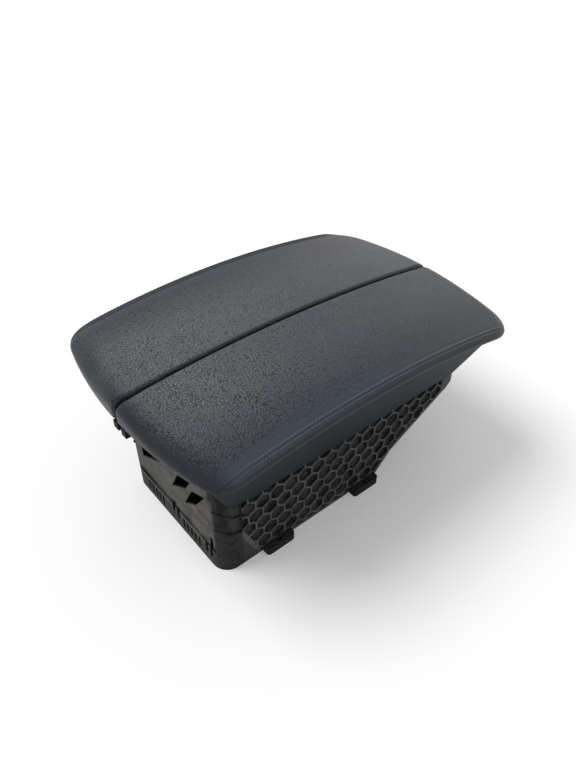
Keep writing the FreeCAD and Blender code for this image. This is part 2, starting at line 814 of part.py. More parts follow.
liner_tray = doc.addObject("Part::Feature", "right_liner_tray")
liner_tray.Shape = arched(liner_face(0, 8), -num("liner_depth"), 0)
liner_hollow = doc.addObject("Part::Feature", "right_liner_hollow")
liner_hollow.Shape = arched(liner_face(num("liner_wall"), 6), -num("liner_depth") - 5, -num("liner_wall"))
liner_tools = []
liner_screws = []
for column, x in enumerate((LINER_X[0] + " + 9", LINER_X[1] + " - 9")):
    for row, y in enumerate((LINER_Y[0] + " + 12", LINER_Y[1] + " - 12")):
        name = "right_liner_screw_%d" % (2 * column + row + 1)
        base = lip_level(num(y))
        low = base - num("liner_wall") - 0.6
        liner_tools.append(rod(name + "_hole", "z", "screw_radius + screw_fit", "30", x, y, str(base - 15)))
        shank = rod(name + "_shank", "z", "screw_radius", "carrier_thickness + liner_wall", x, y, str(low))
        head = rod(name + "_head", "z", "screw_head", "1.6", x, y, str(low - 1.6))
        liner_screws.append(fuse(name, shank, head))
right_nodes.append(cut("right_lid_liner", liner_tray, liner_hollow, *liner_tools))
right_nodes.append(cut("right_lid_carrier", fuse("right_carrier_solid", *carrier_parts), *hinge_bores, *liner_tools))
right_nodes.append(fuse("right_liner_screws", *liner_screws))

# Striker tongue under the carrier, set into it by its foot
STRIKER_TOP = str(lip_level(-num("striker_y + striker_thickness")) + 0.5)
tongue = block(
    "right_striker_tongue",
    "lever_x + 1.5",
    "lever_x + lever_width - 1.5",
    "-(striker_y + striker_thickness)",
    "-striker_y",
    "lever_z + striker_rise",
    STRIKER_TOP,
)
foot = doc.addObject("Part::Feature", "right_striker_foot")
foot_base = Part.makePlane(
    num("lever_width - 3"),
    12,
    FreeCAD.Vector(num("lever_x + 1.5"), -num("striker_y + striker_thickness"), 0),
)
foot.Shape = arched(foot_base, -1.6, 0)
carrier_clear = doc.addObject("Part::Feature", "right_striker_limit")
carrier_clear.Shape = arched(lid_plan(0), 0, 12)
right_nodes.append(cut("right_striker", fuse("right_striker_solid", tongue, foot), carrier_clear))

# Finger lever with a hook in front of the striker, on the release pin
HOOK_BACK = "-(striker_y + striker_thickness + latch_gap)"
lever_parts = [
    rod("right_lever_hub", "x", "lever_hub", "lever_width", "lever_x", "-lever_pivot_y", "lever_z"),
    block(
        "right_lever_arm",
        "lever_x",
        "lever_x + lever_width",
        HOOK_BACK + " - 3",
        "-lever_pivot_y",
        "lever_z - lever_hub",
        "lever_z + striker_rise - 1.2",
    ),
    block(
        "right_lever_hook",
        "lever_x",
        "lever_x + lever_width",
        HOOK_BACK + " - 3",
        HOOK_BACK,
        "lever_z - lever_hub",
        "lever_z + 6",
    ),
    block(
        "right_lever_tab",
        "lever_x",
        "lever_x + lever_width",
        "-(lid_half_length - tab_setback)",
        HOOK_BACK + " - 2",
        "lever_z - lever_hub",
        "lever_z + lever_hub - 1",
    ),
]
lever_bore = rod(
    "right_lever_bore", "x", "release_pin_radius + pin_fit", "60", "-30", "-lever_pivot_y", "lever_z"
)
right_nodes.append(cut("right_release", fuse("right_lever_solid", *lever_parts), lever_bore))
right_nodes.append(
    coil(
        "right_release_spring",
        "x",
        "release_wire",
        "release_pin_radius + release_wire / 2 + 0.4",
        "release_wire * 2.2",
        "7 - release_wire - 1",
        "lever_x + lever_width + release_wire / 2 + 0.5",
        "-lever_pivot_y",
        "lever_z",
    )
)
release_pin = rod(
    "release_pin",
    "x",
    "release_pin_radius - 0.02",
    "2 * (lever_x + lever_width + 10) + 1",
    "-(lever_x + lever_width + 10.5)",
    "-lever_pivot_y",
    "lever_z",
)

# Rubber buffers on the top plate and the screws of the collar
buffers = []
frame_screw_list = []
for side, sign in SIDES:
    x = sign + "(box_half_width + flange_reach / 2)"
    for index, spot in enumerate((-num("box_front * 0.45"), num("box_rear * 0.55"))):
        far_edge = spot + math.copysign(num("buffer_radius"), spot - num("edge_crest"))
        top = str(lip_level(far_edge) - 0.2)
        name = "%s_buffer_%d" % (side, index + 1)
        buffers.append(rod(name, "z", "buffer_radius", "%s - plate_top" % top, x, str(spot), "plate_top"))
    for index, spot in enumerate(RIM_SCREWS):
        name = "%s_frame_screw_%d" % (side, index + 1)
        shank = rod(
            name + "_shank",
            "z",
            "screw_radius",
            "plate_thickness + flange_thickness + 3",
            x,
            spot,
            "rim_height - flange_thickness - 3",
        )
        head = rod(name + "_head", "z", "screw_head", "2", x, spot, "plate_top")
        frame_screw_list.append(fuse(name, shank, head))
lid_buffers = fuse("lid_buffers", *buffers)
frame_screws = fuse("frame_screws", *frame_screw_list)

nodes = [storage_box, top_frame, bin_mat, release_pin, lid_buffers, frame_screws]
for item in right_nodes:
    nodes.append(item)
    nodes.append(mirrored(item.Name.replace("right_", "left_", 1), item))

doc.recompute()
for item in doc.Objects:
    if "Invalid" in item.State or "Error" in item.State:
        raise RuntimeError("%s did not build: %s" % (item.Name, item.State))
for item in nodes:
    if item.Shape.isNull() or not item.Shape.isValid():
        raise RuntimeError("%s has no valid shape" % item.Name)
    item.Label = item.Name
    item.Shape.exportStep("parts/%s.step" % item.Label)
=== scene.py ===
"""Looks of a car centre armrest: two leather lids on a flared collar over a ribbed storage box.

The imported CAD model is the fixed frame. This script adds the leather lids with
their seams and stitches, gives every other node its finish, and sets the studio.
All lengths are in metres, in the frame of the CAD model: +X right, -Y front, +Z up.
"""

import json
import logging
import math
from dataclasses import dataclass
from enum import Enum
from typing import Any, Iterable

import bmesh
import bpy
import numpy as np
from mathutils import Euler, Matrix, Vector

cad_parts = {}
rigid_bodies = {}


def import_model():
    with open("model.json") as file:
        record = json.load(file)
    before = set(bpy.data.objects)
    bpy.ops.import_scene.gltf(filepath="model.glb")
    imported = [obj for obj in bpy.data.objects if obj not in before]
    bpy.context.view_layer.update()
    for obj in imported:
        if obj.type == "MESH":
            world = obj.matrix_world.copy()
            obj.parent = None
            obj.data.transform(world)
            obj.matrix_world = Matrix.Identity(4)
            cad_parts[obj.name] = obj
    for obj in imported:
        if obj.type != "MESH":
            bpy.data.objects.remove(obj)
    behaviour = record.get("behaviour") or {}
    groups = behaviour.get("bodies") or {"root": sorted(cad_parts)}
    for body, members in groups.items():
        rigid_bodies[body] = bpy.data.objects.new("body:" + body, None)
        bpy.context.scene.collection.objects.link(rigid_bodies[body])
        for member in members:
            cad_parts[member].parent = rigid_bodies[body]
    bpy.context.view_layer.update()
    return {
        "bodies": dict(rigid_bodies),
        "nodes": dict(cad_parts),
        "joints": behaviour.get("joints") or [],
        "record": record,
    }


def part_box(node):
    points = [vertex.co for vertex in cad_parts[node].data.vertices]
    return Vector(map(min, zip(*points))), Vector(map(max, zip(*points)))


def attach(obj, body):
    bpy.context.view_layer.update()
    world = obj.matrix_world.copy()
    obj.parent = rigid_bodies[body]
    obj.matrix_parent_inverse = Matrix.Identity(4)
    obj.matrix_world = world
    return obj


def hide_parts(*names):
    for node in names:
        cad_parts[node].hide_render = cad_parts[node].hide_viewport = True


log = logging.getLogger("armrest")
MM = 0.001
MERGE_DISTANCE = 1e-6
COLLAPSE_DISTANCE = 1e-7
WHITE = (1.0, 1.0, 1.0, 1.0)
Colour = tuple[float, float, float]


class Side(Enum):
    """The two lids, with the sign of their X."""

    RIGHT = 1
    LEFT = -1

    @property
    def label(self) -> str:
        """Word used in node and body names."""
        return self.name.lower()


class Detail(Enum):
    """Octaves of a noise."""

    SMOOTH = 1.0
    FINE = 2.0
    ROUGH = 3.0
    CLOUDY = 4.0
    SMEARED = 5.0


@dataclass(frozen=True)
class Band:
    """Smooth change from start to end while a value goes from low to high."""

    low: float
    high: float
    start: float = 0.0
    end: float = 1.0


def smoothstep(low: float, high: float, value: np.ndarray) -> np.ndarray:
    """Cubic ramp from 0 at low to 1 at high.

    Args:
        low: value where the ramp starts.
        high: value where the ramp ends.
        value: values to map.

    Returns:
        Ramp values between 0 and 1.
    """
    share = np.clip((value - low) / (high - low), 0.0, 1.0)
    return share * share * (3.0 - 2.0 * share)


def dimmed(colour: Colour, share: float) -> Colour:
    """The same colour at a share of its strength."""
    red, green, blue = colour
    return share * red, share * green, share * blue


class Wire:
    """A shader socket whose arithmetic adds Math nodes."""

    def __init__(self, recipe: "Recipe", socket: bpy.types.NodeSocket) -> None:
        """Keep the material recipe and the output socket."""
        self.recipe = recipe
        self.socket = socket

    def _math(self, operation: str, *values: Any) -> "Wire":
        """Add one Math node."""
        inputs = dict(enumerate(values))
        return self.recipe.node("ShaderNodeMath", {"operation": operation}, inputs)

    def __add__(self, other: Any) -> "Wire":
        """Sum."""
        return self._math("ADD", self, other)

    __radd__ = __add__

    def __sub__(self, other: Any) -> "Wire":
        """Difference."""
        return self._math("SUBTRACT", self, other)

    def __rsub__(self, other: Any) -> "Wire":
        """Difference with the number first."""
        return self._math("SUBTRACT", other, self)

    def __mul__(self, other: Any) -> "Wire":
        """Product."""
        return self._math("MULTIPLY", self, other)

    __rmul__ = __mul__

    def __abs__(self) -> "Wire":
        """Size without the sign."""
        return self._math("ABSOLUTE", self)

    def ramp(self, band: Band) -> "Wire":
        """This value, mapped through a band."""
        return self.recipe.node(
            "ShaderNodeMapRange",
            {"interpolation_type": "SMOOTHSTEP"},
            {
                "Value": self,
                "From Min": band.low,
                "From Max": band.high,
                "To Min": band.start,
                "To Max": band.end,
            },
        )


class Recipe:
    """Node tree of one material or of the sky."""

    def __init__(self, owner: bpy.types.Material | bpy.types.World) -> None:
        """Start with an empty tree."""
        self.owner = owner
        owner.use_nodes = True
        self.tree = owner.node_tree
        self.tree.nodes.clear()
        kind = "World" if isinstance(owner, bpy.types.World) else "Material"
        self.output = self.tree.nodes.new(f"ShaderNodeOutput{kind}")

    @classmethod
    def named(cls, name: str) -> "Recipe":
        """Recipe of a new material of that name."""
        return cls(bpy.data.materials.new(name))

    def node(
        self, kind: str, settings: dict[str, Any], inputs: dict[Any, Any], output: Any = 0
    ) -> Wire:
        """Add a node.

        Args:
            kind: type name of the node.
            settings: properties that are set first.
            inputs: socket name or index to a number, colour or Wire.
            output: name or index of the output that is returned.

        Returns:
            The chosen output.
        """
        made = self.tree.nodes.new(kind)
        for key, value in settings.items():
            setattr(made, key, value)
        for key, value in inputs.items():
            if isinstance(value, Wire):
                self.tree.links.new(value.socket, made.inputs[key])
            else:
                made.inputs[key].default_value = value
        return Wire(self, made.outputs[output])

    def place(self) -> Wire:
        """Object coordinates in metres."""
        return self.node("ShaderNodeTexCoord", {}, {}, "Object")

    def axes(self, vector: Wire | None = None) -> tuple[Wire, Wire, Wire]:
        """The three parts of a vector, or of the object coordinates."""
        split = self.node("ShaderNodeSeparateXYZ", {}, {0: vector or self.place()})
        owner = split.socket.node
        return tuple(Wire(self, owner.outputs[index]) for index in range(3))

    def noise(
        self, size: float, detail: Detail = Detail.FINE, where: Wire | None = None
    ) -> Wire:
        """Noise from 0 to 1.

        Args:
            size: size of its features in metres, roughly.
            detail: octaves.
            where: coordinates, or None for the object coordinates.

        Returns:
            The noise.
        """
        return self.node(
            "ShaderNodeTexNoise",
            {"noise_dimensions": "3D"},
            {
                "Vector": where or self.place(),
                "Scale": 1.0 / size,
                "Detail": detail.value,
                "Roughness": 0.55,
            },
        )

    def cells(self, size: float, where: Wire) -> Wire:
        """Distance to the nearest border in a field of cells of about that size in metres."""
        return self.node(
            "ShaderNodeTexVoronoi",
            {"feature": "DISTANCE_TO_EDGE"},
            {"Vector": where, "Scale": 1.0 / size},
        )

    def mix(self, share: Any, first: Any, second: Any) -> Wire:
        """Mix of two colours.

        Args:
            share: 0 gives the first colour, 1 the second.
            first: colour or Wire.
            second: colour or Wire.

        Returns:
            The mixed colour.
        """
        made = self.tree.nodes.new("ShaderNodeMix")
        made.data_type = "RGBA"
        factor, start, end = made.inputs[0], made.inputs[6], made.inputs[7]
        for socket, value in ((factor, share), (start, first), (end, second)):
            if isinstance(value, Wire):
                self.tree.links.new(value.socket, socket)
            elif isinstance(value, tuple):
                socket.default_value = (*value, 1.0)
            else:
                socket.default_value = value
        return Wire(self, made.outputs[2])

    def warp(self, size: float, amount: float) -> Wire:
        """Object coordinates shifted by a soft noise, so that cells look grown and not ruled."""
        inputs = {"Vector": self.place(), "Scale": 1.0 / size}
        shift = self.node("ShaderNodeTexNoise", {}, inputs, "Color")
        inputs = {0: shift, "Scale": amount}
        scaled = self.node("ShaderNodeVectorMath", {"operation": "SCALE"}, inputs)
        inputs = {0: self.place(), 1: scaled}
        return self.node("ShaderNodeVectorMath", {"operation": "ADD"}, inputs)

    def bump(self, height: Wire, depth: float) -> Wire:
        """Normal from a height of that depth in metres."""
        inputs = {"Height": height, "Distance": depth, "Strength": 1.0}
        return self.node("ShaderNodeBump", {}, inputs)

    def seen(self) -> Wire:
        """1 for camera, glossy and transmitted rays, which see the plain background, else 0."""
        kinds = ("Is Camera Ray", "Is Glossy Ray", "Is Transmission Ray")
        camera, glossy, sent = (self.node("ShaderNodeLightPath", {}, {}, kind) for kind in kinds)
        return (camera + glossy + sent).ramp(Band(0.0, 1.0))

    def finish(self, **sockets: Any) -> bpy.types.Material:
        """Close the recipe with a Principled shader.

        Args:
            sockets: socket names with underscores for spaces, to numbers, colours or Wires.

        Returns:
            The material.
        """
        values = {}
        for key, value in sockets.items():
            name = key.replace("_", " ")
            is_colour = isinstance(value, tuple) and len(value) == 3
            values[name] = (*value, 1.0) if is_colour else value
        self.close(self.node("ShaderNodeBsdfPrincipled", {}, values))
        return self.owner

    def close(self, shader: Wire) -> None:
        """Link a shader to the output."""
        self.tree.links.new(shader.socket, self.output.inputs["Surface"])


@dataclass(frozen=True)
class LeatherFinish:
    """Dark blue-black leather with a pebble grain that is boldest at the front, with painted
    sheen and painted shade in its colour.

    The bands of places are in metres over X, over its size or over Y. Those named
    after the pebble, the crease or a patch map the textures.
    """

    tone: Colour = (0.024, 0.032, 0.051)
    # painted sheen tint: a neutral colour for the rear and, at half share, the left lid
    rear_tone: Colour = (0.026, 0.028, 0.031)
    # painted shade for the grain creases and the front lip
    crease: Colour = (0.007, 0.009, 0.016)
    # painted shade for the edges along the outer side and the gap
    edge: Colour = (0.016, 0.019, 0.022)
    # painted sheen: a lighter neutral colour over the front and the middle of the lids
    bloom: Colour = (0.150, 0.155, 0.163)
    rough: float = 0.36
    pore_rough: float = 0.10
    pebble_polish: float = 0.06
    gloss: float = 0.28
    pebble: float = 1.9 * MM
    pore: float = 0.7 * MM
    patch: float = 34 * MM
    warp: float = 5 * MM
    warp_shift: float = 1.8 * MM
    depth: float = 0.43 * MM
    pebble_height: float = 0.85
    pore_height: float = 0.22
    pebble_flank: Band = Band(0.0, 0.30)
    crease_dark: Band = Band(0.0, 0.7, 1.0, 0.0)
    taut_side: Band = Band(0.092, 0.104, 1.0, 0.3)
    taut_front: Band = Band(-0.165, -0.143, 0.35, 1.0)
    bold_along: Band = Band(-0.10, 0.14, 1.0, 0.4)
    bold_patch: Band = Band(0.25, 0.75, 0.7, 1.0)
    # bands of the painted sheen, which is a little weaker on part of the right lid
    spared_lid: Band = Band(-0.005, 0.005)
    spared_along: Band = Band(-0.11, -0.02, 0.0, 0.25)
    worn_across: Band = Band(0.035, 0.105, 1.0, 0.1)
    worn_along: Band = Band(-0.12, 0.06, 1.0, 0.4)
    worn_front: Band = Band(-0.160, -0.115, 0.75, 1.0)
    worn_patch: Band = Band(0.2, 0.8, 0.7, 1.2)
    # bands of the painted sheen tint
    cool_along: Band = Band(-0.02, 0.10, 1.0, 0.0)
    cool_across: Band = Band(-0.03, 0.03, 0.5, 1.0)
    front_bow: float = -1.21
    # band of the painted shade at the front lip
    front_turn: Band = Band(-0.168, -0.147, 1.0, 0.0)
    outer_fold: Band = Band(0.1108, 0.1126, 0.0, 0.9)
    gap_fold: Band = Band(0.0014, 0.0046, 0.9, 0.0)

    def make(self) -> bpy.types.Material:
        """Grain is rounded cells with creases between them, on warped coordinates.

        Returns:
            The material.
        """
        recipe = Recipe.named("lid_leather")
        across, along, _ = recipe.axes()
        outwards = abs(across)
        where = recipe.warp(self.warp, self.warp_shift)
        pebble = recipe.cells(self.pebble, where).ramp(self.pebble_flank)
        pore = recipe.noise(self.pore, Detail.ROUGH, where)
        patch = recipe.noise(self.patch, Detail.ROUGH)
        taut = outwards.ramp(self.taut_side) * along.ramp(self.taut_front)
        bold = along.ramp(self.bold_along) * patch.ramp(self.bold_patch) * taut
        height = (pebble * self.pebble_height + pore * self.pore_height) * bold
        # painted sheen, lightest at the front and middle of each lid
        sheen_spared = across.ramp(self.spared_lid) * along.ramp(self.spared_along)
        sheen_share = outwards.ramp(self.worn_across) * along.ramp(self.worn_along) * (1.0 - sheen_spared)
        sheen_share = sheen_share * along.ramp(self.worn_front)
        # painted sheen tint, greyer towards the rear and on the left lid
        cool = along.ramp(self.cool_along) * across.ramp(self.cool_across)
        sheen_tinted = recipe.mix(cool, self.rear_tone, self.tone)
        sheened = recipe.mix(patch.ramp(self.worn_patch) * sheen_share, sheen_tinted, self.bloom)
        # painted shade at the front lip and in the grain creases
        lip_shade = (across * across * self.front_bow + along).ramp(self.front_turn)
        shade_share = pebble.ramp(self.crease_dark) * bold + lip_shade
        shaded_grain = recipe.mix(shade_share, sheened, self.crease)
        # painted shade on the outer side below the seam and on the roll by the gap
        edge_shade = outwards.ramp(self.outer_fold) + outwards.ramp(self.gap_fold)
        return recipe.finish(
            Base_Color=recipe.mix(edge_shade, shaded_grain, self.edge),
            Roughness=self.rough + pore * self.pore_rough - pebble * self.pebble_polish,
            Normal=recipe.bump(height, self.depth),
            Specular_IOR_Level=self.gloss,
        )


@dataclass(frozen=True)
class ThreadFinish:
    """Twisted sewing thread, a little lighter than the leather."""

    tone: Colour = (0.140, 0.146, 0.160)
    dark_share: float = 0.6
    twist: float = 0.8 * MM
    rough: float = 0.55
    depth: float = 0.1 * MM

    def make(self) -> bpy.types.Material:
        """Fine noise along the thread stands for its twist."""
        recipe = Recipe.named("seam_thread")
        twist = recipe.noise(self.twist, Detail.SMOOTH)
        return recipe.finish(
            Base_Color=recipe.mix(twist, self.tone, dimmed(self.tone, self.dark_share)),
            Roughness=self.rough,
            Normal=recipe.bump(twist, self.depth),
        )


@dataclass(frozen=True)
class MouldedFinish:
    """Moulded plastic with a fine eroded texture and faint handling marks."""

    name: str
    tone: Colour
    haze: Colour
    rough: float
    haze_rough: float = 0.12
    grain_rough: float = 0.05
    gloss: float = 0.04
    grain: float = 0.7 * MM
    haze_size: float = 28 * MM
    haze_band: Band = Band(0.4, 0.75)
    depth: float = 0.05 * MM

    def make(self) -> bpy.types.Material:
        """Fine noise gives the texture, wide noise the haze and the change of gloss."""
        recipe = Recipe.named(self.name)
        grain = recipe.noise(self.grain)
        haze = recipe.noise(self.haze_size, Detail.CLOUDY)
        rough = self.rough + haze * self.haze_rough - self.haze_rough / 2
        return recipe.finish(
            Base_Color=recipe.mix(haze.ramp(self.haze_band), self.tone, self.haze),
            Roughness=rough + grain * self.grain_rough,
            Normal=recipe.bump(grain, self.depth),
            Specular_IOR_Level=self.gloss,
        )


@dataclass(frozen=True)
class BoxFinish:
    """Black box plastic with a painted highlight on the rib faces, painted shade in the pockets
    and at the front, and a polished, greyer front panel with painted light and shade.

    The bands of places are in metres over X, over its size, over Y or over Z. Those
    named after haze or after the noises of the rib highlight, the pocket shade and the panel
    light map the textures.
    """

    tone: Colour = (0.064, 0.066, 0.068)
    haze: Colour = (0.090, 0.092, 0.094)
    # painted highlight on the rib faces
    rib: Colour = (0.180, 0.185, 0.191)
    shade: Colour = (0.014, 0.015, 0.016)
    # the lit and the shaded colour of the painted light and shade on the front panel
    panel: Colour = (0.110, 0.103, 0.088)
    panel_dark: Colour = (0.016, 0.015, 0.013)
    rough: float = 0.44
    haze_rough: float = 0.14
    panel_polish: float = 0.26
    grain_rough: float = 0.04
    gloss: float = 0.04
    grain: float = 0.6 * MM
    haze_size: float = 24 * MM
    smear_size: float = 15 * MM
    wear_size: float = 7 * MM
    soil_size: float = 11 * MM
    depth: float = 0.05 * MM
    smear_height: float = 6.0
    haze_band: Band = Band(0.42, 0.8)
    wear_band: Band = Band(0.3, 0.6, 0.35, 1.0)
    soil_band: Band = Band(0.5, 0.62, 0.0, 0.7)
    smear_band: Band = Band(0.27, 0.68)
    panel_front: Band = Band(-0.1315, -0.1305, 1.0, 0.0)
    panel_ledge: Band = Band(0.018, 0.020)
    panel_side: Band = Band(0.061, 0.063, 1.0, 0.0)
    panel_groove: Band = Band(0.058, 0.060, 1.0, 0.0)
    panel_lit: Band = Band(-0.055, 0.025, 0.08, 1.0)
    rib_face: Band = Band(0.0709, 0.0715)
    rib_corner: Band = Band(-0.1125, -0.1115, 0.15, 1.0)
    foot_slope: float = 0.47
    rib_foot: Band = Band(-0.0975, -0.0955, 0.15, 1.0)
    corner_shade: Band = Band(-0.1125, -0.1115, 0.45, 0.0)
    pocket_wall: Band = Band(0.062, 0.064)
    lug_face: Band = Band(0.0724, 0.0730, 0.0, 0.9)

    def make(self) -> bpy.types.Material:
        """The panel lies in front of a plane and above the ledge; ribs reach the side face.

        Returns:
            The material.
        """
        recipe = Recipe.named("box_plastic")
        across, along, up = recipe.axes()
        outwards = abs(across)
        grain = recipe.noise(self.grain)
        haze = recipe.noise(self.haze_size, Detail.CLOUDY)
        smear_and_sheen = recipe.noise(self.smear_size, Detail.SMEARED)
        rib_light_noise = recipe.noise(self.wear_size, Detail.ROUGH)
        pocket_shade_noise = recipe.noise(self.soil_size, Detail.SMOOTH)

        # painted highlight on the rib faces, broken up by noise
        rib_lit = outwards.ramp(self.rib_face) * rib_light_noise.ramp(self.wear_band)
        rib_lit = rib_lit * along.ramp(self.rib_corner)
        rib_lit = rib_lit * (up * self.foot_slope + along).ramp(self.rib_foot)
        # painted shade in blotches on the honeycomb pockets and the side walls
        pocket_shade = pocket_shade_noise.ramp(self.soil_band) * outwards.ramp(self.pocket_wall)
        plain = recipe.mix(haze.ramp(self.haze_band), self.tone, self.haze)
        plain = recipe.mix(pocket_shade, plain, self.shade)
        plain = recipe.mix(along.ramp(self.corner_shade), plain, self.shade)
        ribbed = recipe.mix(rib_lit, plain, self.rib)
        ribbed = recipe.mix(outwards.ramp(self.lug_face), ribbed, self.shade)

        panel = along.ramp(self.panel_front) * up.ramp(self.panel_ledge)
        panel = panel * outwards.ramp(self.panel_side)
        # painted light and shade on the front panel: lit smears, with the left end and the side
        # grooves in shade
        lit = smear_and_sheen.ramp(self.smear_band) * across.ramp(self.panel_lit)
        lit = lit * outwards.ramp(self.panel_groove)
        polished = recipe.mix(lit, self.panel_dark, self.panel)
        rough = self.rough + haze * self.haze_rough - panel * self.panel_polish
        return recipe.finish(
            Base_Color=recipe.mix(panel, ribbed, polished),
            Roughness=rough + grain * self.grain_rough,
            Normal=recipe.bump(grain + smear_and_sheen * panel * self.smear_height, self.depth),
            Specular_IOR_Level=self.gloss,
        )


@dataclass(frozen=True)
class SteelFinish:
    """Zinc plated steel with drawn lines."""

    tone: Colour = (0.52, 0.52, 0.54)
    dark_share: float = 0.75
    rough: float = 0.28
    line_rough: float = 0.2
    lines: float = 0.5 * MM
    tarnish: float = 5 * MM
    tarnish_band: Band = Band(0.4, 0.7)
    depth: float = 0.02 * MM

    def make(self) -> bpy.types.Material:
        """Metal whose roughness changes with a fine noise."""
        recipe = Recipe.named("zinc_steel")
        lines = recipe.noise(self.lines, Detail.ROUGH)
        tarnish = recipe.noise(self.tarnish, Detail.ROUGH).ramp(self.tarnish_band)
        return recipe.finish(
            Base_Color=recipe.mix(tarnish, self.tone, dimmed(self.tone, self.dark_share)),
            Metallic=1.0,
            Roughness=self.rough + lines * self.line_rough,
            Normal=recipe.bump(lines, self.depth),
        )


def ring_faces(count: int, length: int) -> np.ndarray:
    """Faces over a stack of closed rings.

    Face (i, j) joins the points j and j + 1 of the rings i and i + 1.

    Args:
        count: number of rings.
        length: points in a ring.

    Returns:
        Corner numbers of shape (faces, 4).
    """
    row, column = np.meshgrid(np.arange(count - 1), np.arange(length), indexing="ij")
    ahead = (column + 1) % length
    this, following = row * length, (row + 1) * length
    corners = [this + column, this + ahead, following + ahead, following + column]
    return np.stack(corners, axis=-1).reshape(-1, 4)


def mesh_object(
    name: str, points: np.ndarray, faces: np.ndarray, merge: bool = False
) -> bpy.types.Object:
    """Object from arrays of points and faces, smooth shaded.

    Args:
        name: object name.
        points: array of shape (n, 3).
        faces: array of corner numbers.
        merge: join points that fall together.

    Returns:
        The new object, linked to the scene.
    """
    mesh = bpy.data.meshes.new(name)
    mesh.from_pydata(points.tolist(), [], faces.tolist())
    if merge:
        work = bmesh.new()
        work.from_mesh(mesh)
        bmesh.ops.remove_doubles(work, verts=work.verts, dist=MERGE_DISTANCE)
        bmesh.ops.dissolve_degenerate(work, edges=work.edges, dist=COLLAPSE_DISTANCE)
        work.to_mesh(mesh)
        work.free()
    mesh.shade_smooth()
    mesh.update()
    obj = bpy.data.objects.new(name, mesh)
    bpy.context.scene.collection.objects.link(obj)
    return obj


@dataclass(frozen=True)
class Edges:
    """One length for each edge of a lid; the front one grows away from the gap."""

    gap: float
    outer: float
    front: float
    rear: float
    front_gain: float = 0.0


@dataclass(frozen=True)
class Welt:
    """Long low swelling, or groove, that runs beside the outer lip."""

    centre: float
    width: float
    height: float


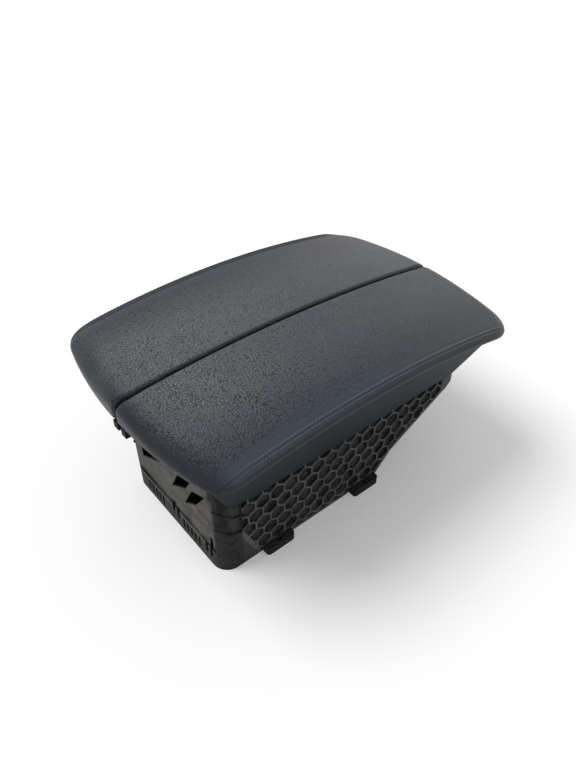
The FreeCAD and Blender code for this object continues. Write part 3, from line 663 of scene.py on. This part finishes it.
@dataclass
class LidLeather:
    """Leather pad of one lid: a crowned closed form with a rolled edge and a stitched seam.

    The plan outline is that of the CAD lid. Rings run from the underside round the
    lip, up the side, over the roll and in to a spine along the middle of the lid.
    """

    side: Side
    low: Vector
    high: Vector
    front_arc: float = 0.414
    rear_arc: float = 0.816
    front_corner: float = 0.024
    rear_corner: float = 0.034
    spine_reach: float = 0.108
    crest_y: float = -0.024
    lip_arc: float = 0.794
    lip_crest: float = 0.1597
    edge_rise: float = 0.005
    crown_y: float = -0.042
    crown_arc: float = 1.282
    crown_crest: float = 0.1693
    fade: float = 0.050
    drop_fade: float = 0.030
    drop_share: float = 0.8
    drops: Edges = Edges(0.0032, 0.0035, 0.0085, 0.0080, 0.0030)
    rolls: Edges = Edges(0.0034, 0.0040, 0.0065, 0.0110, 0.0105)
    rims: Edges = Edges(0.0060, 0.0155, 0.0085, 0.0130, 0.0105)
    sewn_from: float = 0.001
    sewn_to: float = 0.008
    welts: tuple[Welt, ...] = (
        Welt(7.0 * MM, 0.9 * MM, 0.60 * MM),
        Welt(8.6 * MM, 0.6 * MM, -0.95 * MM),
        Welt(10.2 * MM, 0.9 * MM, 0.60 * MM),
        Welt(12.6 * MM, 1.2 * MM, -0.30 * MM),
    )
    under: tuple[tuple[float, float], ...] = (
        (0.0027, 0.0016),
        (0.0026, 0.0002),
        (0.0015, 0.0000),
        (0.0006, 0.0002),
    )
    under_travel: float = -0.02
    wall_start: float = 0.14
    wall_rings: int = 7
    roll_rings: int = 12
    rim_rings: int = 16
    top_rings: int = 18
    arc_samples: int = 300
    bend_samples: int = 120
    outline_samples: int = 2400
    rounding: int = 9
    side_points: int = 150
    end_points: int = 140
    stitch_insets: tuple[float, float] = (3.6 * MM, 6.8 * MM)
    stitch_lift: float = 0.50 * MM
    stitch_pitch: float = 3.1 * MM
    stitch_margin: float = 0.036
    front_skip: float = 0.012
    rear_skip: float = 0.004

    @property
    def middle(self) -> float:
        """X of the spine of the right-hand lid."""
        return (self.low.x + self.high.x) / 2

    @property
    def rings_below(self) -> int:
        """Number of rings under the free part of the cover."""
        return len(self.under) + self.wall_rings + self.roll_rings + self.rim_rings

    def lip(self, y: np.ndarray) -> np.ndarray:
        """Height of the arched lower edge: a circle in the side view."""
        return self.lip_crest - self.lip_arc + np.sqrt(self.lip_arc**2 - (y - self.crest_y) ** 2)

    def top(self, x: np.ndarray, y: np.ndarray) -> np.ndarray:
        """Height of the cover: the gap line's arc, falling outwards with the square of x."""
        edge = self.lip(y) + self.edge_rise
        crown = self.crown_crest - (y - self.crown_y) ** 2 / (2 * self.crown_arc)
        share = np.clip(x / self.high.x, 0.0, 1.0) ** 2
        return crown + (edge - crown) * share

    def end_outline(self, sign: int) -> np.ndarray:
        """Plan outline of the front (-1) or rear (+1) end, from the gap to the outer side.

        The edge is an arc about a point on the middle line. A corner arc touches it
        and the straight outer side.

        Args:
            sign: end of the lid.

        Returns:
            Points of shape (n, 2).
        """
        arc = self.front_arc if sign < 0 else self.rear_arc
        corner = self.front_corner if sign < 0 else self.rear_corner
        centre = sign * (self.high.y - arc)
        hub_x = self.high.x - corner
        hub_y = centre + sign * math.sqrt((arc - corner) ** 2 - hub_x**2)
        lean = math.asin(hub_x / (arc - corner))
        sweep = np.linspace(math.asin(self.low.x / arc), lean, self.arc_samples)
        turn = np.linspace(lean, math.pi / 2, self.bend_samples)
        x = np.concatenate([arc * np.sin(sweep), hub_x + corner * np.sin(turn)])
        edge_y = centre + sign * arc * np.cos(sweep)
        y = np.concatenate([edge_y, hub_y + sign * corner * np.cos(turn)])
        return np.stack([x, y], axis=1)

    def outline(self) -> np.ndarray:
        """Dense plan outline, anticlockwise from the front of the gap edge.

        A short moving average rounds the two inner corners.

        Returns:
            Points of shape (n, 2).
        """
        loop = np.concatenate([self.end_outline(-1), self.end_outline(1)[::-1]])
        loop = self.resample(np.concatenate([loop, loop[:1]]), self.outline_samples)[:-1]
        padded = np.concatenate([loop[-self.rounding :], loop, loop[: self.rounding]])
        window = 2 * self.rounding + 1
        kernel = np.ones(window) / window
        return np.stack([np.convolve(part, kernel, "valid") for part in padded.T], axis=1)

    @staticmethod
    def resample(points: np.ndarray, count: int) -> np.ndarray:
        """Evenly spaced points along a polyline.

        Args:
            points: polyline of shape (n, 2).
            count: number of points wanted, ends included.

        Returns:
            Points of shape (count, 2).
        """
        lengths = np.linalg.norm(np.diff(points, axis=0), axis=1)
        steps = np.concatenate([[0.0], np.cumsum(lengths)])
        where = np.linspace(0.0, steps[-1], count)
        return np.stack([np.interp(where, steps, part) for part in points.T], axis=1)

    @staticmethod
    def nearest(points: np.ndarray, x: float, y: float) -> int:
        """Number of the point that is nearest to a place in the plan."""
        return int(np.argmin(np.linalg.norm(points - np.array([x, y]), axis=1)))

    def loop(self) -> tuple[np.ndarray, np.ndarray]:
        """Outline points and outward normals, with the same Y on both long sides.

        Returns:
            Points and normals, both of shape (n, 2).
        """
        reach = self.spine_reach
        dense = self.outline()
        dense = np.roll(dense, -self.nearest(dense, self.low.x, -reach), axis=0)
        outer_front = self.nearest(dense, self.high.x, -reach)
        outer_rear = self.nearest(dense, self.high.x, reach)
        inner_rear = self.nearest(dense, self.low.x, reach)
        y = np.linspace(-reach, reach, self.side_points)
        outer_x = np.full_like(y, dense[(outer_front + outer_rear) // 2, 0])
        inner_x = np.full_like(y, self.low.x)
        front = self.resample(dense[: outer_front + 1], self.end_points + 2)[1:-1]
        rear = self.resample(dense[outer_rear : inner_rear + 1], self.end_points + 2)[1:-1]
        outer = np.stack([outer_x, y], axis=1)
        inner = np.stack([inner_x, y[::-1]], axis=1)
        points = np.concatenate([front, outer, rear, inner])
        tangent = np.roll(points, -1, axis=0) - np.roll(points, 1, axis=0)
        tangent /= np.linalg.norm(tangent, axis=1, keepdims=True)
        normals = np.stack([tangent[:, 1], -tangent[:, 0]], axis=1)
        log.info("lid outline of %d points about x = %.1f mm", len(points), self.middle / MM)
        return points, normals

    def end_line(self, x: np.ndarray, sign: int) -> np.ndarray:
        """Y of the front (-1) or rear (+1) arc over X."""
        arc = self.front_arc if sign < 0 else self.rear_arc
        return sign * (self.high.y - arc + np.sqrt(arc**2 - x**2))

    def near_ends(self, points: np.ndarray, fade: float) -> tuple[np.ndarray, np.ndarray]:
        """Nearness of plan points to the front and rear edges.

        Args:
            points: plan points of shape (n, 2).
            fade: distance over which the nearness falls from 1 to 0.

        Returns:
            Nearness to the front and to the rear, both of shape (n,).
        """
        x, y = points.T
        front = 1 - smoothstep(0.0, fade, y - self.end_line(x, -1))
        rear = 1 - smoothstep(0.0, fade, self.end_line(x, 1) - y)
        return front, rear

    def front_length(self, points: np.ndarray, edges: Edges) -> np.ndarray:
        """Length at the front edge, which grows away from the gap."""
        beside = points[:, 0] - self.low.x
        return edges.front + edges.front_gain * smoothstep(0.0, self.fade, beside)

    def inwards(self, points: np.ndarray, edges: Edges) -> np.ndarray:
        """Shift of plan points away from the four edges.

        Each edge moves its own points by the full length; the shift fades smoothly
        away from it, so that a row of rings never crosses itself.

        Args:
            points: plan points of shape (n, 2).
            edges: shift of each edge.

        Returns:
            Shifts of shape (n, 2).
        """
        x = points[:, 0]
        near_gap = 1 - smoothstep(0.0, self.fade, x - self.low.x)
        near_outer = 1 - smoothstep(0.0, self.fade, self.high.x - x)
        near_front, near_rear = self.near_ends(points, self.fade)
        across = edges.gap * near_gap - edges.outer * near_outer
        along = self.front_length(points, edges) * near_front - edges.rear * near_rear
        return np.stack([across, along], axis=1)

    def drop(self, points: np.ndarray, height: np.ndarray) -> np.ndarray:
        """Height of the rolled edge: large at front and rear, small along gap and seam.

        Args:
            points: plan points of shape (n, 2).
            height: height of the side of the pad at each point.

        Returns:
            Drops of shape (n,).
        """
        drops = self.drops
        side = np.where(points[:, 0] < self.middle, drops.gap, drops.outer)
        front, rear = self.near_ends(points, self.drop_fade)
        deep = self.front_length(points, drops)
        wanted = side + (deep - side) * front + (drops.rear - side) * rear
        return np.minimum(wanted, self.drop_share * height)

    def seam(self, inset: np.ndarray) -> np.ndarray:
        """Height of the double seam.

        A groove between two low welts that carry the stitches, and a shallow dip
        on the inner side. They run straight along the outer side and off its front end.

        Args:
            inset: distance along the section from the outer lip, in metres.

        Returns:
            Displacement along the surface normal.
        """
        shares = (np.exp(-(((inset - welt.centre) / welt.width) ** 2)) for welt in self.welts)
        return sum(welt.height * share for welt, share in zip(self.welts, shares))

    def rings(self) -> np.ndarray:
        """All rings of the lid, from the underside to the spine.

        Returns:
            Points of shape (rings, n, 3) for the right-hand lid.
        """
        points, normals = self.loop()
        height = self.top(points[:, 0], points[:, 1]) - self.lip(points[:, 1])
        drop = self.drop(points, height)
        reach = self.inwards(points, self.rolls)
        rim = self.inwards(points, self.rims)
        beside = self.high.x - points[:, 0]
        fading = 1 - smoothstep(self.sewn_from, self.sewn_to, beside)
        sewn = np.where(points[:, 1] > 0, fading, 1.0)
        made = []

        def ring(inset: np.ndarray, rise: Any, on_top: bool, lean: float, travel: Any) -> None:
            """Add one ring.

            Args:
                inset: shift of the plan points.
                rise: height over the lip or the cover.
                on_top: measure the rise from the cover.
                lean: slope of the surface normal, in radians.
                travel: way along the section from the lip.
            """
            place = points + inset
            base = self.top(place[:, 0], place[:, 1]) if on_top else self.lip(place[:, 1])
            puff = self.seam(travel + beside) * sewn
            outwards = normals * (puff * np.cos(lean)).reshape(-1, 1)
            made.append(np.column_stack([place + outwards, base + rise + puff * np.sin(lean)]))

        for inset, rise in self.under:
            shift = self.inwards(points, Edges(inset, inset, inset, inset))
            ring(shift, rise, False, 0.0, self.under_travel)
        wall = height - drop
        for share in np.linspace(self.wall_start, 1.0, self.wall_rings):
            ring(np.zeros_like(points), wall * share, False, 0.0, wall * share)
        bend = (drop + np.abs(reach[:, 0])) / 2
        for turn in np.linspace(0.0, math.pi / 2, self.roll_rings + 1)[1:]:
            shift = reach * (1 - math.cos(turn))
            ring(shift, drop * (math.sin(turn) - 1), True, turn, wall + bend * turn)
        start = wall + bend * math.pi / 2
        for share in np.linspace(0.0, 1.0, self.rim_rings + 1)[1:]:
            shift = reach + (rim - reach) * share
            ring(shift, 0.0, True, math.pi / 2, start + np.abs(shift - reach)[:, 0])
        edge = points + rim
        spine_y = np.clip(points[:, 1], -self.spine_reach, self.spine_reach)
        spine = np.stack([np.full(len(points), self.middle), spine_y], axis=1)
        for share in np.linspace(0.0, 1.0, self.top_rings + 1)[1:]:
            place = edge + (spine - edge) * share
            made.append(np.column_stack([place, self.top(place[:, 0], place[:, 1])]))
        return np.stack(made)

    def build(self, relief: np.ndarray | None) -> tuple[bpy.types.Object, np.ndarray]:
        """Make the leather mesh.

        Args:
            relief: lift of each point from the simulated cover, or None to simulate it.

        Returns:
            The object and the lift that it used.
        """
        rings = self.rings()
        count, length, _ = rings.shape
        if relief is None:
            relief = CoverSimulation(rings, self.rings_below).run()
        rings = rings + relief[..., None] * np.array([0.0, 0.0, 1.0])
        rings[..., 0] *= self.side.value
        _, base_rise = self.under[0]
        base = rings[0].copy()
        base[:, 0] = self.side.value * self.middle
        base[:, 1] = np.clip(base[:, 1], -self.spine_reach, self.spine_reach)
        base[:, 2] = self.lip(base[:, 1]) + base_rise
        rings = np.concatenate([base[None], rings])
        faces = ring_faces(count + 1, length)[:, :: self.side.value]
        name = f"{self.side.label}_lid_leather"
        return mesh_object(name, rings.reshape(-1, 3), faces, merge=True), relief

    def stitch_row(self, inset: float) -> tuple[np.ndarray, np.ndarray]:
        """Points and directions of a stitch row on the outer side.

        Args:
            inset: distance in from the outer edge.

        Returns:
            Middle points and unit directions, both of shape (n, 3).
        """
        reach = self.high.y - self.stitch_margin
        y = np.arange(self.front_skip - reach, reach - self.rear_skip, self.stitch_pitch)
        x = np.full_like(y, self.high.x - inset)
        z = self.top(x, y) + self.stitch_lift
        heading = np.stack([np.zeros_like(y), np.ones_like(y), np.gradient(z, y)], axis=1)
        heading /= np.linalg.norm(heading, axis=1, keepdims=True)
        place = np.stack([x * self.side.value, y, z], axis=1)
        return place, heading

    def stitches(self) -> tuple[np.ndarray, np.ndarray]:
        """Points and directions of all stitches, row after row."""
        places, headings = zip(*(self.stitch_row(inset) for inset in self.stitch_insets))
        return np.concatenate(places), np.concatenate(headings)


@dataclass
class CoverSimulation:
    """Cloth simulation of the leather over its foam, held along the seams."""

    rings: np.ndarray
    below: int
    frames: int = 14
    pressure: float = 2.0
    tension: float = 40.0
    bending: float = 4.0
    quality: int = 4
    limit: float = 0.0012
    digits: int = 6

    def run(self) -> np.ndarray:
        """Let the cover swell, and scale the lift to the limit.

        Returns:
            Lift of every point in metres, of shape (rings, n).
        """
        count, length, _ = self.rings.shape
        cover = self.rings[self.below :]
        flat = cover.reshape(-1, 3)
        _, first, same = np.unique(
            np.round(flat, self.digits), axis=0, return_index=True, return_inverse=True
        )
        same = same.reshape(-1)
        quads = same[ring_faces(len(cover), length)]
        corners = np.concatenate([quads[:, [0, 1, 2]], quads[:, [0, 2, 3]]])
        apart = np.diff(np.sort(corners, axis=1), axis=1).min(axis=1) > 0
        obj = mesh_object("cover_cloth", flat[first], corners[apart])
        mesh = obj.data
        held = obj.vertex_groups.new(name="held")
        held.add(same[:length].tolist(), 1.0, "REPLACE")
        self.add_cloth(obj, held.name)
        scene = bpy.context.scene
        for frame in range(1, self.frames + 1):
            scene.frame_set(frame)
        graph = bpy.context.evaluated_depsgraph_get()
        result = obj.evaluated_get(graph).data
        after = np.empty(len(mesh.vertices) * 3)
        result.vertices.foreach_get("co", after)
        lift = (after.reshape(-1, 3)[same, 2] - flat[:, 2]).reshape(len(cover), length)
        scene.frame_set(1)
        bpy.data.objects.remove(obj)
        bpy.data.meshes.remove(mesh)
        top = float(np.abs(lift).max())
        log.info("cover swelled by up to %.2f mm", top / MM)
        lift *= self.limit / max(top, self.limit)
        return np.concatenate([np.zeros((self.below, length)), lift])

    def add_cloth(self, obj: bpy.types.Object, held: str) -> None:
        """Give the cover its cloth modifier.

        Args:
            obj: the cover.
            held: name of the group of points that stay in place.
        """
        cloth = obj.modifiers.new("cover", "CLOTH")
        settings = cloth.settings
        settings.vertex_group_mass = held
        settings.use_pressure = True
        settings.uniform_pressure_force = self.pressure
        settings.effector_weights.gravity = 0.0
        settings.tension_stiffness = self.tension
        settings.bending_stiffness = self.bending
        settings.quality = self.quality
        cloth.collision_settings.use_collision = False
        cloth.point_cache.frame_start = 1
        cloth.point_cache.frame_end = self.frames


@dataclass
class Stitching:
    """Rows of stitches, each a small rounded capsule that dips at its ends."""

    length: float = 2.3 * MM
    radius: float = 0.34 * MM
    around: int = 6
    along: int = 6
    thinnest: float = 0.02
    dip: float = 0.35

    def build(self, name: str, places: np.ndarray, headings: np.ndarray) -> bpy.types.Object:
        """Make one mesh with a stitch at every place.

        Args:
            name: object name.
            places: middle points of shape (n, 3).
            headings: unit directions of shape (n, 3).

        Returns:
            The new object.
        """
        turn = np.arange(self.around) * 2 * math.pi / self.around
        reach = np.linspace(-1.0, 1.0, self.along)
        girth = np.sqrt(np.clip(1.0 - np.abs(reach) ** 3, self.thinnest, 1.0)) * self.radius
        sag = -self.dip * self.radius * reach**2
        across = np.cross(headings, np.array([0.0, 0.0, 1.0]))
        across /= np.linalg.norm(across, axis=1, keepdims=True)
        lift = np.cross(across, headings)
        ring = (
            reach[:, None, None, None] * headings[None, None] * self.length / 2
            + (girth[:, None] * np.cos(turn))[..., None, None] * across[None, None]
            + (girth[:, None] * np.sin(turn) + sag[:, None])[..., None, None] * lift[None, None]
            + places[None, None]
        )
        points = np.moveaxis(ring, 2, 0).reshape(-1, 3)
        quads = np.roll(ring_faces(self.along, self.around)[:, ::-1], 1, axis=1)
        first = np.arange(len(places)) * self.along * self.around
        faces = first[:, None, None] + quads[None]
        return mesh_object(name, points, faces.reshape(-1, 4))


@dataclass
class Studio:
    """Pale floor, soft light from the front left, and the camera of the photograph."""

    lens_pixels: float = 671.88
    long_side_pixels: float = 768.0
    sensor: float = 36.0
    near_clip: float = 0.01
    pitch: float = 40.804
    azimuth: float = 50.682
    place: tuple[float, float, float] = (0.35257, -0.29441, 0.48715)
    floor_reach: float = 9.0
    floor_cells: int = 4
    floor_tone: float = 0.97
    floor_bounce: float = 0.42
    floor_lift: float = 0.20
    sky: Band = Band(0.15, 1.0, 0.16, 0.79)
    sun_level: float = 2.00
    sun_spread: float = 34.0
    sun_from: tuple[float, float, float] = (-0.47, -0.46, 1.00)

    def floor(self) -> None:
        """Flat grid under the part.

        Camera, glossy and transmitted rays see it nearly white with a shadow that
        is lifted a little; other rays get less light back from it.
        """
        side = self.floor_cells + 1
        steps = np.linspace(-self.floor_reach, self.floor_reach, side)
        x, y = np.meshgrid(steps, steps, indexing="ij")
        points = np.stack([x, y, np.zeros_like(x)], axis=-1).reshape(-1, 3)
        cells = np.arange(self.floor_cells)
        row, column = np.meshgrid(cells, cells, indexing="ij")
        first = (row * side + column).reshape(-1)
        faces = np.stack([first, first + side, first + side + 1, first + 1], axis=1)
        obj = mesh_object("studio_floor", points, faces)
        recipe = Recipe.named("floor_paper")
        seen = recipe.seen()
        shade = recipe.mix(seen, (self.floor_bounce,) * 3, (self.floor_tone,) * 3)
        paper = recipe.node("ShaderNodeBsdfDiffuse", {}, {"Color": shade})
        white = recipe.node("ShaderNodeEmission", {}, {"Color": WHITE, "Strength": 1.0})
        lift = seen * self.floor_lift
        recipe.close(recipe.node("ShaderNodeMixShader", {}, {0: lift, 1: paper, 2: white}))
        obj.data.materials.append(recipe.owner)

    def light(self) -> None:
        """Sky and a wide lamp.

        The sky is plain white to camera, glossy and transmitted rays. As a light
        it is darker towards the horizon.
        """
        world = bpy.data.worlds.new("studio_sky")
        bpy.context.scene.world = world
        recipe = Recipe(world)
        way = recipe.node("ShaderNodeTexCoord", {}, {}, "Generated")
        _, _, up = recipe.axes(way)
        seen = recipe.seen()
        level = seen + (1.0 - seen) * up.ramp(self.sky)
        recipe.close(
            recipe.node("ShaderNodeBackground", {}, {"Color": WHITE, "Strength": level})
        )
        lamp = bpy.data.lights.new("soft_key", "SUN")
        lamp.energy = self.sun_level
        lamp.angle = math.radians(self.sun_spread)
        obj = bpy.data.objects.new("soft_key", lamp)
        obj.visible_glossy = False
        obj.rotation_euler = Vector(self.sun_from).to_track_quat("Z", "Y").to_euler()
        bpy.context.scene.collection.objects.link(obj)

    def camera(self) -> None:
        """Camera from the lens and place fitted to the photograph."""
        data = bpy.data.cameras.new("photo_view")
        data.sensor_width = self.sensor
        data.lens = self.lens_pixels / self.long_side_pixels * self.sensor
        data.clip_start = self.near_clip
        obj = bpy.data.objects.new("photo_view", data)
        obj.location = self.place
        tilt, turn = math.radians(90 - self.pitch), math.radians(self.azimuth)
        obj.rotation_euler = Euler((tilt, 0.0, turn))
        bpy.context.scene.collection.objects.link(obj)
        bpy.context.scene.camera = obj

    def build(self) -> None:
        """Make the whole studio."""
        self.floor()
        self.light()
        self.camera()
        bpy.context.scene.view_settings.view_transform = "Standard"


@dataclass
class Hardware:
    """CAD nodes that keep their shape and get a finish."""

    nodes: dict[str, bpy.types.Object]
    collar: MouldedFinish = MouldedFinish(
        "collar_plastic", (0.018, 0.026, 0.033), (0.023, 0.032, 0.039), rough=0.46
    )
    carrier: MouldedFinish = MouldedFinish(
        "carrier_plastic", (0.018, 0.018, 0.020), (0.027, 0.027, 0.029), rough=0.55
    )
    rubber: MouldedFinish = MouldedFinish(
        "black_rubber", (0.016, 0.016, 0.016), (0.030, 0.029, 0.028), rough=0.75
    )
    box: BoxFinish = BoxFinish()
    steel: SteelFinish = SteelFinish()

    def dress(self, material: bpy.types.Material, names: Iterable[str]) -> None:
        """Give the named nodes one finish."""
        for name in names:
            mesh = self.nodes[name].data
            mesh.materials.clear()
            mesh.materials.append(material)
            log.info("finish %s on %s", material.name, name)

    @staticmethod
    def both(*stems: str) -> list[str]:
        """Names of right and left nodes with these stems."""
        return [f"{side.label}_{stem}" for side in Side for stem in stems]

    def build(self) -> None:
        """Dress every node that the scene keeps."""
        self.dress(self.collar.make(), ["top_frame"])
        self.dress(self.box.make(), ["storage_box"])
        self.dress(self.carrier.make(), self.both("lid_carrier", "lid_liner", "release"))
        self.dress(self.rubber.make(), ["bin_mat", "lid_buffers"])
        pins = self.both("inner_pin", "outer_pin", "striker")
        coils = self.both("lid_spring", "release_spring")
        screws = ["frame_screws", *self.both("liner_screws")]
        self.dress(self.steel.make(), ["release_pin", *pins, *coils, *screws])


def main() -> None:
    """Load the frame, dress it piece by piece and set the studio."""
    logging.basicConfig(level=logging.INFO, format="%(name)s: %(message)s")
    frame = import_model()
    Studio().build()
    Hardware(frame["nodes"]).build()

    leather = LeatherFinish().make()
    thread = ThreadFinish().make()
    low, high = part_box("right_lid_pad")
    relief = None
    for side in Side:
        lid = LidLeather(side, low, high)
        pad, relief = lid.build(relief)
        pad.data.materials.append(leather)
        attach(pad, f"{side.label}_lid")
        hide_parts(f"{side.label}_lid_pad")
        log.info("leather lid %s with %d faces", side.label, len(pad.data.polygons))
        places, headings = lid.stitches()
        stitches = Stitching().build(f"{side.label}_lid_stitches", places, headings)
        stitches.data.materials.append(thread)
        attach(stitches, f"{side.label}_lid")
        log.info("stitches %s: %d", side.label, len(places))


if __name__ == "__main__":
    main()
